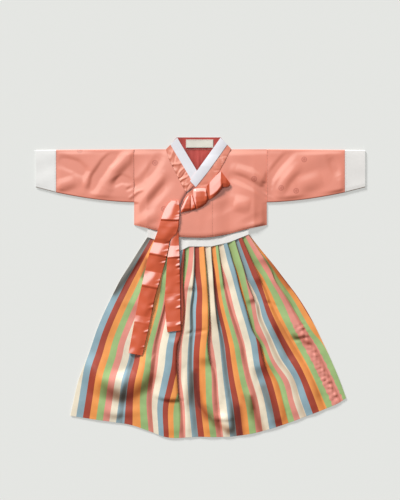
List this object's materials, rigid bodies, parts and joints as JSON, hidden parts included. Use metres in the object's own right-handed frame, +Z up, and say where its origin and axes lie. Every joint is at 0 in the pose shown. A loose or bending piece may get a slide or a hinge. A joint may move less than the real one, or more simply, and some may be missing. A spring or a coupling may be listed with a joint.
{
  "type": "child's hanbok",
  "caption": "Small child's hanbok laid flat: a wrap jacket with white collar strip and cuffs and a tied bow, over a striped, pleated skirt on a white waistband.",
  "frame": {"origin": "middle of the outline, on the surface that the garment lies on", "axes": "+X along the sleeves towards the viewer's right, +Y towards the neck, +Z up off the surface"},
  "size_m": [0.75, 0.6828, 0.0176],
  "materials": {
    "salmon_satin": "satin with a tone-on-tone figure",
    "coral_satin": "shiny satin",
    "white_cotton": "matt",
    "red_lining": "thin, slightly shiny",
    "striped_satin": "satin, joined stripes of six colours",
    "label_weave": "matt"
  },
  "bodies": {
    "root": {"skirt_back": "striped_satin", "skirt_front": "striped_satin", "waistband_front": "white_cotton", "waistband_back": "white_cotton", "strap_left": "white_cotton", "strap_right": "white_cotton", "jacket_back": "salmon_satin", "jacket_lining": "red_lining", "jacket_front_inner": "salmon_satin", "jacket_gusset": "salmon_satin", "jacket_front_outer": "salmon_satin", "sleeve_left": "salmon_satin", "cuff_left": "white_cotton", "sleeve_right": "salmon_satin", "cuff_right": "white_cotton", "collar_inner": "salmon_satin", "collar_outer": "salmon_satin", "collar_back": "salmon_satin", "neckband_inner": "white_cotton", "neckband_outer": "white_cotton", "neckband_back": "white_cotton", "label": "label_weave", "tie_tail_short": "coral_satin", "tie_tail_long": "coral_satin", "tie_gather": "coral_satin", "tie_knot": "coral_satin", "bow_loop": "coral_satin"}
  },
  "joints": []
}
